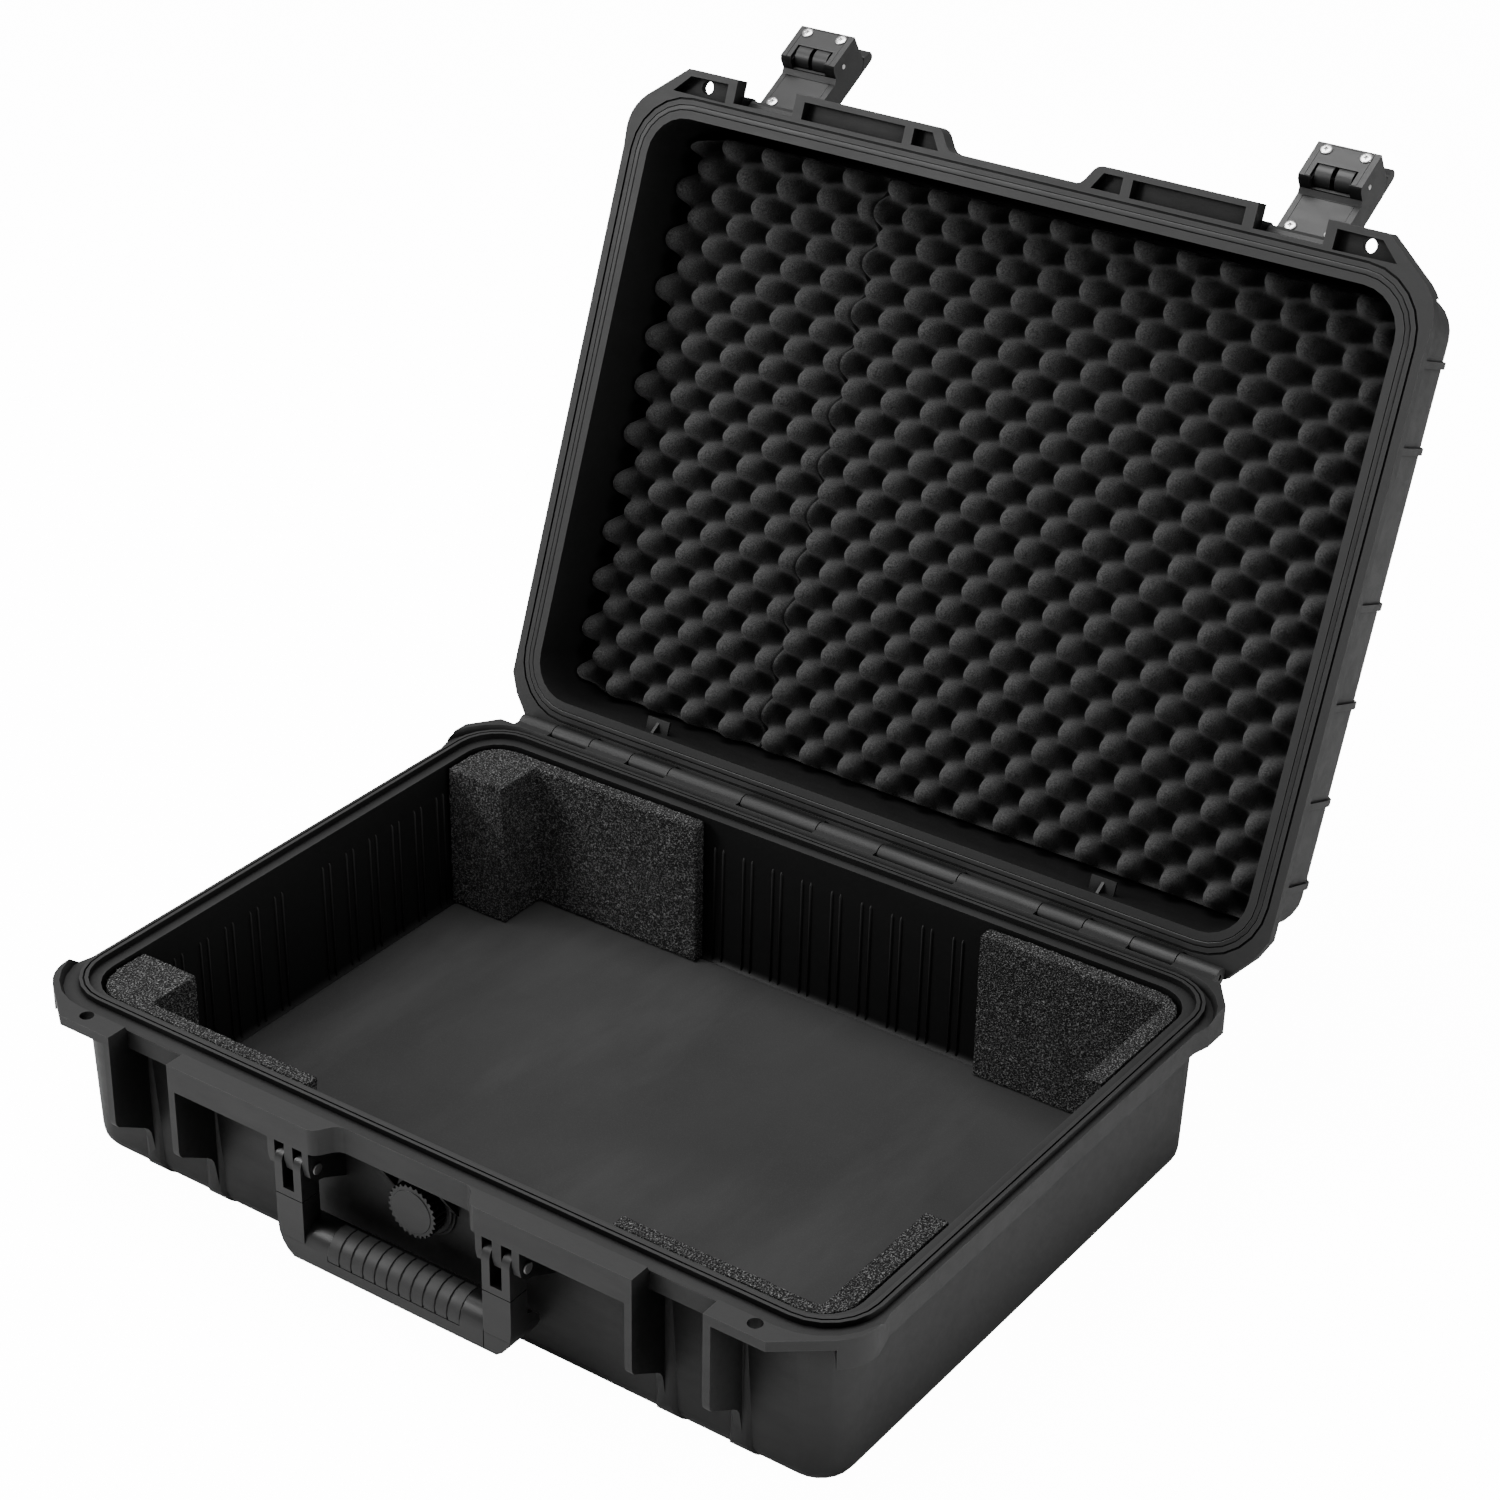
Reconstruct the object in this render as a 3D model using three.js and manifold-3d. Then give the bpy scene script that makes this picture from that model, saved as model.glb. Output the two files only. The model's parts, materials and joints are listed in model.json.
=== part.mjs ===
// Hard equipment case: a moulded base and lid on a long pin hinge, a folding bail handle,
// a pressure valve with a turning knob, and two draw latches with release levers.
// The case stands on its base, open, with the lid tipped back and both latches swung clear.
//
// Units are millimetres, +Z is up and the front faces -Y.
// Every piece is drawn in "case coordinates": y is measured from the hinge axis (front is
// negative) and z from the parting plane where the lid meets the base. One group lifts those
// coordinates so that the origin is the centre of the bottom face.
import * as THREE from 'three';
import { mergeVertices } from 'three/addons/utils/BufferGeometryUtils.js';
import Module from 'manifold-3d';

const wasm = await Module();
wasm.setup();

// ---------------------------------------------------------------- driving dimensions
const BASE_DEPTH = 119;           // parting plane down to the bottom face
const LID_DEPTH = 90;             // parting plane up to the lid's crown
const HALF_WIDTH = 297;           // flange corners
const FRONT = -459.8;             // flange front edge
const HINGE_OFFSET = 227;         // hinge axis behind the centre of the case
const HINGE_DROP = 6.6;           // hinge axis below the parting plane
const LID_OPEN_DEG = 110.46;      // how far the lid is tipped back
const LATCH_OPEN_DEG = 129.4;     // how far each latch is swung up from closed
const SEAM = 0.3;                 // lid face above the parting plane
const GAP = 0.3;                  // between fixed neighbours
const RUNNING = 0.08;             // radial clearance of a turning fit
const BASE_EDGE = { outer: 13, inner: 7, outerDraft: 3.5, innerDraft: 1 };
const LID_EDGE = { outer: 15, inner: 8, outerDraft: 2.5, innerDraft: 2 };
const ARC = 3;                    // half the segments in a quarter turn of a rounded corner

// Walls: half width, front and back planes, and vertical corner radius at the open edge.
const BASE_WALL = { half: 282, front: -429.5, back: -25, radius: 27 };
const BASE_CAVITY = { half: 275.8, front: -422, back: -32, radius: 26 };
const LID_WALL = { half: 281.5, front: -431, back: -18.5, radius: 27 };
const LID_CAVITY = { half: 276.2, front: -427.5, back: -21.5, radius: 28 };
const TONGUE = { half: 288.5, front: -433.2, back: -19.4, radius: 36 };

const FLANGE_BOTTOM = -19.4;
const NOTCH = { inner: 169.7, outer: 216.6, depth: -444.2 };   // where each latch passes
const PLATE = 4.9;                // thickness of the upright plates beside each notch
const RECESS = { inner: 44.8, outer: 61.3, depth: -446 };      // finger room over the handle
const PADLOCK = { x: 243.5, y: -450.2, radius: 4.5 };
const FLOOR_TOP = -115.5;
const MAT_TOP = -112.5;
const FOAM_TOP = -6.5;
const LID_CEILING = 86;
const LID_FOAM_TIPS = 42;

const KNUCKLE_RADIUS = 6.5;
const KNUCKLE_EDGES = [24.2, 84.8, 145.5, 178.1, 212.3, 244.2, 273.7];
const HINGE_PIN_RADIUS = 2;

const HANDLE = {
  pivotY: -453, pivotZ: -31, eye: 7.9, pin: 2.5,
  half: 86.5, arm: 20, corner: 22, front: -460.8, back: -446,
  gripBack: -434, gripTop: -70, gripBottom: -98, slotBottom: -48, capLine: -53.5, seam: 0.6,
};
const VALVE = { z: -41, seat: -429.6, knob: 17.5, tooth: 1.5, face: -442.4, stem: 5.2 };
const LATCH = {
  x: 193.15, half: 21.5, pivotY: -443, pivotZ: 21.8, barrel: 6, pin: 1.8,
  innerArm: 2.5, outer: 19.3, catchU: 39.2, innerBlock: -9.7, tip: 70.3, lip: 80,
  coverHalf: 17.3, coverThick: 2.5, screwX: 13.5, screwU: [11.5, 65],
  leverU: 50.8, leverW: -1.3, leverPin: 1.7, hub: 8.4, leverHalf: 15.4, cheek: 15.8,
};

// ---------------------------------------------------------------- finishes
const finish = (color, roughness, metalness = 0) => ({ color, roughness, metalness });
const CASE_PLASTIC = finish(0x2b2c2e, 0.62);
const HANDLE_PLASTIC = finish(0x232426, 0.5);
const GRIP_RUBBER = finish(0x1b1b1c, 0.75);
const SEAL_RUBBER = finish(0x0e0e0f, 0.7);
const FINE_FOAM = finish(0x161616, 0.97);
const COARSE_FOAM = finish(0x1c1c1c, 0.98);
const MAT_FOAM = finish(0x333334, 0.95);
const BRIGHT_STEEL = finish(0xd8d8d6, 0.25, 1);

// ---------------------------------------------------------------- solids
function toSolid(geometry) {
  const loose = geometry.index ? geometry.toNonIndexed() : geometry;
  const bare = new THREE.BufferGeometry();
  bare.setAttribute('position', loose.getAttribute('position'));
  const merged = mergeVertices(bare, 1e-4);
  return new wasm.Manifold(new wasm.Mesh({
    numProp: 3,
    vertProperties: new Float32Array(merged.getAttribute('position').array),
    triVerts: new Uint32Array(merged.index.array),
  }));
}

function toGeometry(solid) {
  const mesh = solid.getMesh();
  const geometry = new THREE.BufferGeometry();
  geometry.setAttribute('position', new THREE.BufferAttribute(new Float32Array(mesh.vertProperties), 3));
  geometry.setIndex(new THREE.BufferAttribute(new Uint32Array(mesh.triVerts), 1));
  geometry.computeVertexNormals();
  return geometry;
}

const join = (solids) => solids.reduce((sum, next) => sum.add(next));
const cut = (solid, cutters) => cutters.reduce((rest, next) => rest.subtract(next), solid);

function block(x0, x1, y0, y1, z0, z1) {
  const geometry = new THREE.BoxGeometry(x1 - x0, y1 - y0, z1 - z0);
  geometry.translate((x0 + x1) / 2, (y0 + y1) / 2, (z0 + z1) / 2);
  return toSolid(geometry);
}

function extrude(shape, depth, steps = 1) {
  return new THREE.ExtrudeGeometry(shape, { depth, steps, bevelEnabled: false, curveSegments: ARC });
}

// A plan outline raised between two heights.
function prismZ(shape, z0, z1) {
  return toSolid(extrude(shape, z1 - z0).translate(0, 0, z0));
}

// A side profile, drawn in (y, z), carried along x.
function prismX(shape, x0, x1) {
  const turn = new THREE.Matrix4().makeBasis(
    new THREE.Vector3(0, 1, 0), new THREE.Vector3(0, 0, 1), new THREE.Vector3(1, 0, 0));
  return toSolid(extrude(shape, x1 - x0).applyMatrix4(turn).translate(x0, 0, 0));
}

// A front profile, drawn in (x, z), carried along y.
function prismY(shape, y0, y1) {
  return toSolid(extrude(shape, y1 - y0).rotateX(Math.PI / 2).translate(0, y1, 0));
}

function polygon(points) {
  return new THREE.Shape(points.map(([a, b]) => new THREE.Vector2(a, b)));
}

function rodX(y, z, radius, x0, x1, sides = 16) {
  const rod = new THREE.CylinderGeometry(radius, radius, x1 - x0, sides).rotateZ(-Math.PI / 2);
  return toSolid(rod.translate((x0 + x1) / 2, y, z));
}

function rodY(x, z, radius, y0, y1, sides = 32) {
  const rod = new THREE.CylinderGeometry(radius, radius, y1 - y0, sides);
  return toSolid(rod.translate(x, (y0 + y1) / 2, z));
}

function rodZ(x, y, radius, z0, z1, sides = 16) {
  const rod = new THREE.CylinderGeometry(radius, radius, z1 - z0, sides).rotateX(Math.PI / 2);
  return toSolid(rod.translate(x, y, (z0 + z1) / 2));
}

// A rounded rectangle grown outwards by `grow`, corners included.
function grown(wall, grow) {
  return {
    half: wall.half + grow, front: wall.front - grow,
    back: wall.back + grow, radius: wall.radius + grow,
  };
}

function roundedRectangle({ half, front, back, radius }) {
  const shape = new THREE.Shape();
  shape.absarc(half - radius, front + radius, radius, -Math.PI / 2, 0);
  shape.absarc(half - radius, back - radius, radius, 0, Math.PI / 2);
  shape.absarc(-half + radius, back - radius, radius, Math.PI / 2, Math.PI);
  shape.absarc(-half + radius, front + radius, radius, Math.PI, Math.PI * 1.5);
  return shape;
}

// A rounded rectangle carried up through [z, inset] stations, so walls can lean and round over.
function loft(wall, stations) {
  const geometry = extrude(roundedRectangle(wall), stations.length - 1, stations.length - 1);
  const position = geometry.getAttribute('position');
  for (let i = 0; i < position.count; i += 1) {
    const x = position.getX(i);
    const y = position.getY(i);
    const [z, inset] = stations[Math.round(position.getZ(i))];
    const centreX = THREE.MathUtils.clamp(x, -wall.half + wall.radius, wall.half - wall.radius);
    const centreY = THREE.MathUtils.clamp(y, wall.front + wall.radius, wall.back - wall.radius);
    const scale = (wall.radius - inset) / wall.radius;
    position.setXYZ(i, centreX + (x - centreX) * scale, centreY + (y - centreY) * scale, z);
  }
  return toSolid(geometry);
}

// Stations of a drafted wall from its open plane to a closed end with a rounded edge.
function wallStations(openZ, closedZ, edge, draft, grow = 0) {
  const side = Math.sign(closedZ - openZ);
  const stations = [[openZ, -grow]];
  const steps = 4;
  for (let i = 0; i <= steps; i += 1) {
    const angle = (Math.PI / 2) * (i / steps);
    const z = closedZ - side * edge * (1 - Math.sin(angle));
    const lean = draft * (z - openZ) / (closedZ - openZ);
    stations.push([z, lean + edge * (1 - Math.cos(angle)) - grow]);
  }
  return side > 0 ? stations : stations.reverse();
}

function ring(wall, innerGrow, outerGrow, z0, z1) {
  const inner = prismZ(roundedRectangle(grown(wall, innerGrow)), z0 - 1, z1 + 1);
  return prismZ(roundedRectangle(grown(wall, outerGrow)), z0, z1).subtract(inner);
}

// ---------------------------------------------------------------- plan outlines
// Half of the flange's front edge, shared by the base and the lid, from the centre outwards.
function frontEdge(path) {
  const middle = (RECESS.inner + RECESS.outer) / 2;
  path.moveTo(0, RECESS.depth);
  path.lineTo(RECESS.inner, RECESS.depth);
  path.bezierCurveTo(middle, RECESS.depth, middle, FRONT, RECESS.outer, FRONT);
  path.lineTo(NOTCH.inner, FRONT);
  path.lineTo(NOTCH.inner, NOTCH.depth);
  path.lineTo(NOTCH.outer, NOTCH.depth);
  path.lineTo(NOTCH.outer, FRONT);
  path.lineTo(256.6, FRONT);
  path.lineTo(280.5, -441);
  path.quadraticCurveTo(HALF_WIDTH, -430, HALF_WIDTH, -413);
}

function mirroredOutline(path) {
  const right = path.getPoints(2 * ARC);
  const left = right.filter((point) => point.x > 0).map((point) => new THREE.Vector2(-point.x, point.y));
  return new THREE.Shape([...right, ...left.reverse()]);
}

function baseOutline() {
  const path = new THREE.Path();
  frontEdge(path);
  path.lineTo(292.8, -396);
  path.lineTo(292.8, -66);
  path.lineTo(296, -54);
  path.lineTo(296, -35);
  path.lineTo(281.5, -14.6);
  path.lineTo(0, -14.6);
  return mirroredOutline(path);
}

function lidOutline() {
  const path = new THREE.Path();
  frontEdge(path);
  path.lineTo(296, -400);
  path.lineTo(296, -30);
  path.lineTo(289.3, -16.6);
  path.lineTo(273.7, 2);
  path.lineTo(0, 2);
  return mirroredOutline(path);
}

// ---------------------------------------------------------------- base
// Knuckles alternate along the pin: the middle and both ends belong to the base.
function knuckleSpans(forBase) {
  const spans = forBase ? [[-KNUCKLE_EDGES[0], KNUCKLE_EDGES[0]]] : [];
  for (let i = 1; i < KNUCKLE_EDGES.length; i += 1) {
    if ((i % 2 === 0) === forBase) {
      spans.push([KNUCKLE_EDGES[i - 1], KNUCKLE_EDGES[i]]);
      spans.push([-KNUCKLE_EDGES[i], -KNUCKLE_EDGES[i - 1]]);
    }
  }
  return spans;
}

function baseKnuckles() {
  const sideGap = 0.4;
  return knuckleSpans(true).map(([x0, x1]) => {
    const barrel = rodX(0, -HINGE_DROP, KNUCKLE_RADIUS, x0 + sideGap, x1 - sideGap);
    const web = polygon([[-17, -3], [-5, -3], [3, -10], [-17, -18]]);
    const webSolid = prismX(web, x0 + sideGap, x1 - sideGap);
    return barrel.add(webSolid);
  });
}

function hingeBore() {
  return rodX(0, -HINGE_DROP, HINGE_PIN_RADIUS + RUNNING, -280, 280, 12);
}

// Upright plates either side of each latch notch.
function plateRibs() {
  const profile = new THREE.Shape();
  profile.moveTo(FRONT, -17);
  profile.lineTo(-424, -17);
  profile.lineTo(-424, -105);
  profile.lineTo(-428.5, -105);
  profile.lineTo(-431, -88);
  profile.quadraticCurveTo(-431.5, -80.5, -437, -77.5);
  profile.lineTo(FRONT + 5, -66.8);
  profile.quadraticCurveTo(FRONT, -65, FRONT, -60);
  const spans = [[NOTCH.inner - PLATE, NOTCH.inner], [NOTCH.outer, NOTCH.outer + PLATE]];
  return spans.flatMap(([x0, x1]) => [prismX(profile, x0, x1), prismX(profile, -x1, -x0)]);
}

// Broad shallow ribs behind the plates; the wall's draft bares them towards the bottom edge.
function footRibs() {
  const swell = loft(BASE_WALL, wallStations(-5, -BASE_DEPTH, BASE_EDGE.outer + 3, BASE_EDGE.outerDraft, 3));
  const ribs = [-219, -169, 169, 219].map((x) => rodZ(x, -420.3, 9.7, -BASE_DEPTH, -17, 24));
  return join(ribs).intersect(swell).intersect(block(-300, 300, -440, -400, -BASE_DEPTH, -17));
}

function handleLugs() {
  const profile = new THREE.Shape();
  profile.moveTo(-424, -16);
  profile.lineTo(-424, -52);
  profile.lineTo(-447, -41);
  profile.quadraticCurveTo(-459.4, -40, -459.4, -29);
  profile.lineTo(-459.4, -16);
  profile.closePath();
  const outer = HANDLE.half + 0.6;
  const spans = [[61.3, 66], [73.3, 79.7], [outer, outer + 5.3]];
  return spans.flatMap(([x0, x1]) => [prismX(profile, x0, x1), prismX(profile, -x1, -x0)]);
}

function valveGussets() {
  const profile = polygon([[-443, -16], [-443, -20], [-429, -42], [-424, -42], [-424, -16]]);
  return [-22, 22].map((x) => prismX(profile, x - 1.25, x + 1.25));
}

// The flange thins to a plain lip over the front corners, outside the latches.
function flangeReliefs() {
  const lipBottom = -6.5;
  const inner = NOTCH.outer + PLATE;
  const right = [[inner, -470], [290, -470], [290.5, -440], [286, -436.5], [272, -418], [inner, -418]];
  const left = right.map(([x, y]) => [-x, y]).reverse();
  return [right, left].map((points) => prismZ(polygon(points), FLANGE_BOTTOM - 1, lipBottom));
}

function baseShell() {
  const wall = loft(BASE_WALL, wallStations(-5, -BASE_DEPTH, BASE_EDGE.outer, BASE_EDGE.outerDraft));
  const flange = cut(prismZ(baseOutline(), FLANGE_BOTTOM, 0), [
    ...flangeReliefs(),
    block(-NOTCH.inner, NOTCH.inner, -470, BASE_WALL.front, -25, -17.5),
    block(NOTCH.inner, NOTCH.outer, -470, BASE_WALL.front, -25, -15.5),
    block(-NOTCH.outer, -NOTCH.inner, -470, BASE_WALL.front, -25, -15.5),
  ]);
  const channelWall = { half: 298.5, front: -446, back: -14.6, radius: 46 };
  const channel = loft(channelWall, [[-4.5, 2.5], [0.5, 0]])
    .subtract(prismZ(roundedRectangle(TONGUE), -10, 5));
  const valveBoss = rodY(0, VALVE.z, 22, VALVE.seat, -424);
  const carved = cut(join([wall, flange, valveBoss]), [
    channel,
    prismZ(roundedRectangle(TONGUE), -0.8, 2),
    ring(TONGUE, -3.2, -2, -3, 2),
    prismZ(roundedRectangle(grown(TONGUE, -5.5)), -5, 2),
  ]);
  const ribs = [...plateRibs(), footRibs(), ...valveGussets()];
  const added = join([carved, ...baseKnuckles(), ...ribs, ...handleLugs()]);
  const pivotY = HANDLE.pivotY;
  const pivotZ = HANDLE.pivotZ;
  const padlockHoles = [-1, 1].map((side) => rodZ(side * PADLOCK.x, PADLOCK.y, PADLOCK.radius, -30, 5, 20));
  return cut(added, [
    loft(BASE_CAVITY, [...wallStations(-5, FLOOR_TOP, BASE_EDGE.inner, BASE_EDGE.innerDraft), [2, 0]]),
    rodY(0, VALVE.z, 9.3, -440, -400, 24),
    hingeBore(),
    rodX(pivotY, pivotZ, HANDLE.pin + RUNNING, -94, -60, 16),
    rodX(pivotY, pivotZ, HANDLE.pin + RUNNING, 60, 94, 16),
    ...padlockHoles,
  ]);
}

function hingePin() {
  return rodX(0, -HINGE_DROP, HINGE_PIN_RADIUS, -272.5, 272.5, 12);
}

// A headed pin through the three lugs and the fork, from x0 to a head just past x1.
function handlePin(x0, x1) {
  const headRadius = 3.6;
  const shank = rodX(HANDLE.pivotY, HANDLE.pivotZ, HANDLE.pin, x0, x1 + 0.4, 16);
  return shank.add(rodX(HANDLE.pivotY, HANDLE.pivotZ, headRadius, x1 + GAP, x1 + 1.5, 16));
}

// ---------------------------------------------------------------- soft lining
function floorMat() {
  return loft(BASE_CAVITY, [[FLOOR_TOP + GAP, BASE_EDGE.inner - 0.4], [MAT_TOP, 2.9]]);
}

// An L of foam in a corner of the base, trimmed to the rounded corner of the cavity.
function cornerFoam(blocks) {
  const room = prismZ(roundedRectangle(grown(BASE_CAVITY, -2.6)), MAT_TOP + GAP, FOAM_TOP);
  const pads = blocks.map(([x0, x1, y0, y1]) => block(x0, x1, y0, y1, MAT_TOP, FOAM_TOP + 1));
  return join(pads).intersect(room);
}

const CORNER_FOAM = {
  back_left: [[-276, -226, -82, -32], [-230, -92, -45, -32]],
  back_right: [[128, 276, -46, -32], [260, 276, -143, -32]],
  front_left: [[-276, -229, -422, -372], [-232, -97, -422, -410]],
  front_right: [[125, 276, -422, -410], [257, 276, -422, -307]],
};

// The convoluted sheets are glued to the lid's ceiling; z runs from their bump tips to their backs.
function lidFoam(x0, x1) {
  const room = loft(LID_CAVITY, [[LID_FOAM_TIPS, 2.4], [77, 3.2], [LID_CEILING - GAP, LID_EDGE.inner + 1.2]]);
  return room.intersect(block(x0, x1, -430, -20, LID_FOAM_TIPS - 1, LID_CEILING));
}

// ---------------------------------------------------------------- pressure valve
function valveBody() {
  const back = VALVE.seat - GAP;
  const body = join([
    rodY(0, VALVE.z, 20.4, back - 1.8, back, 32),
    rodY(0, VALVE.z, 9, back - 1, -415.6, 24),
  ]);
  return body.subtract(rodY(0, VALVE.z, VALVE.stem + RUNNING, back - 3, -420, 24));
}

function valveNut() {
  const nut = rodY(0, VALVE.z, 15, -421.2, -416.4, 6);
  return nut.subtract(rodY(0, VALVE.z, 9.3, -425, -410, 24));
}

function valveKnob() {
  const teeth = 27;
  const outline = [];
  for (let i = 0; i < teeth * 4; i += 1) {
    const radius = i % 4 < 2 ? VALVE.knob : VALVE.knob - VALVE.tooth;
    const angle = (2 * Math.PI * (i - 0.5)) / (teeth * 4);
    outline.push([radius * Math.sin(angle), VALVE.z + radius * Math.cos(angle)]);
  }
  const under = VALVE.seat - GAP - 1.8 - 0.6;
  const head = prismY(polygon(outline.reverse()), VALVE.face + 0.5, under);
  const crown = rodY(0, VALVE.z, VALVE.knob - 3.5, VALVE.face, VALVE.face + 1, 28);
  const stem = rodY(0, VALVE.z, VALVE.stem, under - 2, -421, 24);
  const recess = rodY(0, VALVE.z, 11, under - 2.4, under + 1, 24)
    .subtract(rodY(0, VALVE.z, 7, under - 4, under + 2, 24));
  return head.add(crown).add(stem).subtract(recess);
}

function valveOring() {
  const under = VALVE.seat - GAP - 1.8 - 0.6;
  const cord = new THREE.TorusGeometry(9, 0.9, 6, 16).rotateX(Math.PI / 2);
  return toSolid(cord.translate(0, under - 1.1, VALVE.z));
}

// ---------------------------------------------------------------- handle
const gripRadius = (HANDLE.gripBack - HANDLE.front) / 2;
const gripCentre = { y: HANDLE.front + gripRadius, z: HANDLE.gripTop - gripRadius };

// The bar's side profile: a flat bottom under a half-round top.
function gripSection(inset = 0) {
  const front = HANDLE.front + inset;
  const back = HANDLE.gripBack - inset;
  const bottom = HANDLE.gripBottom + inset;
  const shape = new THREE.Shape();
  shape.moveTo(front + 3, bottom);
  shape.lineTo(back - 3, bottom);
  shape.lineTo(back, bottom + 3);
  shape.absarc(gripCentre.y, gripCentre.z, gripRadius - inset, 0, Math.PI);
  shape.lineTo(front, bottom + 3);
  return shape;
}

function bailOutline() {
  const { half, corner, arm, gripBottom, gripTop } = HANDLE;
  const top = HANDLE.pivotZ;
  const inside = half - arm;
  const shape = new THREE.Shape();
  shape.moveTo(half, top);
  shape.lineTo(inside, top);
  shape.lineTo(inside, gripTop);
  shape.lineTo(-inside, gripTop);
  shape.lineTo(-inside, top);
  shape.lineTo(-half, top);
  shape.absarc(-half + corner, gripBottom + corner, corner, Math.PI, Math.PI * 1.5);
  shape.absarc(half - corner, gripBottom + corner, corner, -Math.PI / 2, 0);
  return shape;
}

// The ribbed pad follows the rounded front and top of the grip.
const PAD = { half: 49, cells: 11, inner: 11.7, outer: 13.7, from: 0.42 * Math.PI, to: 1.08 * Math.PI };

function padSector(inner, outer, spread) {
  const shape = new THREE.Shape();
  shape.absarc(gripCentre.y, gripCentre.z, outer, PAD.from - spread, PAD.to + spread, false);
  shape.absarc(gripCentre.y, gripCentre.z, inner, PAD.to + spread, PAD.from - spread, true);
  return shape;
}

function handleGrip() {
  const pad = prismX(padSector(PAD.inner, PAD.outer, 0), -PAD.half, PAD.half);
  const pitch = (2 * PAD.half) / PAD.cells;
  const grooves = [];
  for (let i = 1; i < PAD.cells; i += 1) {
    const x = -PAD.half + i * pitch;
    grooves.push(prismX(padSector(PAD.outer - 0.9, PAD.outer + 2, 0.1), x - 0.5, x + 0.5));
  }
  return cut(pad, grooves);
}

// Fine lines where the arms' end caps and the grip's sleeve meet the bail.
function handleSeams(armSpans) {
  const { front, back, half, arm, capLine, seam } = HANDLE;
  const armLines = armSpans.map(([x0, x1]) => {
    const slab = block(x0 - 1, x1 + 1, front - 1, back + 1, capLine, capLine + seam);
    return slab.subtract(block(x0 + seam, x1 - seam, front + seam, back - seam, capLine - 1, capLine + 1));
  });
  const sleeveEnd = half - arm;
  const sleeveLine = prismX(gripSection(-1), sleeveEnd - seam / 2, sleeveEnd + seam / 2)
    .subtract(prismX(gripSection(seam), sleeveEnd - 1, sleeveEnd + 1));
  return [...armLines, sleeveLine];
}

function handleBail() {
  const { half, arm, front, back, gripBack, gripTop, gripBottom, pivotY, pivotZ } = HANDLE;
  const inside = half - arm;
  const armSpans = [[-half, -inside], [inside, half]];
  const armRoom = armSpans.map(([x0, x1]) => block(x0, x1, front, back, gripTop - 12, pivotZ + 1));
  const arms = prismY(bailOutline(), front, back).intersect(join(armRoom));
  const bar = prismX(gripSection(), -half, half).intersect(prismY(bailOutline(), front, gripBack));
  const eyes = armSpans.map(([x0, x1]) => rodX(pivotY, pivotZ, HANDLE.eye, x0, x1, 24));
  const slotHalf = 4.2;
  const eyeTop = pivotZ + HANDLE.eye + 1;
  const slots = armSpans.map(([x0, x1]) => {
    const middle = (x0 + x1) / 2;
    return block(middle - slotHalf, middle + slotHalf, front - 1, back + 1, HANDLE.slotBottom, eyeTop);
  });
  return cut(join([arms, bar, ...eyes]), [
    ...slots,
    ...handleSeams(armSpans),
    rodX(pivotY, pivotZ, HANDLE.pin + RUNNING, -90, 90, 16),
    prismX(padSector(PAD.inner - 0.2, PAD.outer + 2, 0.02), -PAD.half - 0.2, PAD.half + 0.2),
  ]);
}

// ---------------------------------------------------------------- lid, drawn closed
function lidKnuckles() {
  const sideGap = 0.4;
  return knuckleSpans(false).map(([x0, x1]) => {
    const barrel = rodX(0, -HINGE_DROP, KNUCKLE_RADIUS, x0 + sideGap, x1 - sideGap);
    const web = polygon([[-6.2, -6], [6.2, -6], [2, 3], [-6.2, 3]]);
    return barrel.add(prismX(web, x0 + sideGap, x1 - sideGap));
  });
}

function lidSideRibs() {
  const swell = loft(LID_WALL, wallStations(SEAM, LID_DEPTH, LID_EDGE.outer, LID_EDGE.outerDraft, 2));
  const ribs = [-388.5, -334.7, -236, -172.4, -108.8, -54].flatMap((y) => [
    block(262, 290, y - 2.2, y + 2.2, 6, LID_DEPTH),
    block(-290, -262, y - 2.2, y + 2.2, 6, LID_DEPTH),
  ]);
  return join(ribs).intersect(swell);
}

function latchLugs() {
  const profile = new THREE.Shape();
  profile.moveTo(-424, 9);
  profile.lineTo(-424, 36);
  profile.lineTo(-440, 28.4);
  profile.absarc(LATCH.pivotY, LATCH.pivotZ, 6.8, Math.PI * 0.4, Math.PI);
  profile.lineTo(-449.8, 9);
  const clear = LATCH.half + 0.7;
  const spans = [[LATCH.x - clear - 5, LATCH.x - clear], [LATCH.x + clear, LATCH.x + clear + 5]];
  return spans.flatMap(([x0, x1]) => [prismX(profile, x0, x1), prismX(profile, -x1, -x0)]);
}

function rimPockets() {
  const pockets = [
    [[-253.7, -455.3], [-265.9, -443.5], [-223.3, -443], [-223.4, -455.7]],
    [[-162.2, -455.8], [-162.2, -444.4], [-83.8, -444.4], [-83.8, -455.8]],
    [[-76.9, -455.8], [-76.9, -445.1], [-56.1, -445.1], [-63, -455.8]],
  ];
  return pockets.flatMap((points) => {
    const mirrored = points.map(([x, y]) => [-x, y]).reverse();
    return [prismZ(polygon([...points].reverse()), -1, 7), prismZ(polygon([...mirrored].reverse()), -1, 7)];
  });
}

// Small hooks on the inside of the hinge wall, for a document pouch.
function pouchHooks() {
  return [-175, 175].map((x) => {
    const plate = block(x - 9, x + 9, -31, -20, 9, 11);
    const gusset = prismX(polygon([[-29, 9.5], [-20, 9.5], [-20, 2]]), x - 1, x + 1);
    return plate.add(gusset);
  });
}

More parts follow.
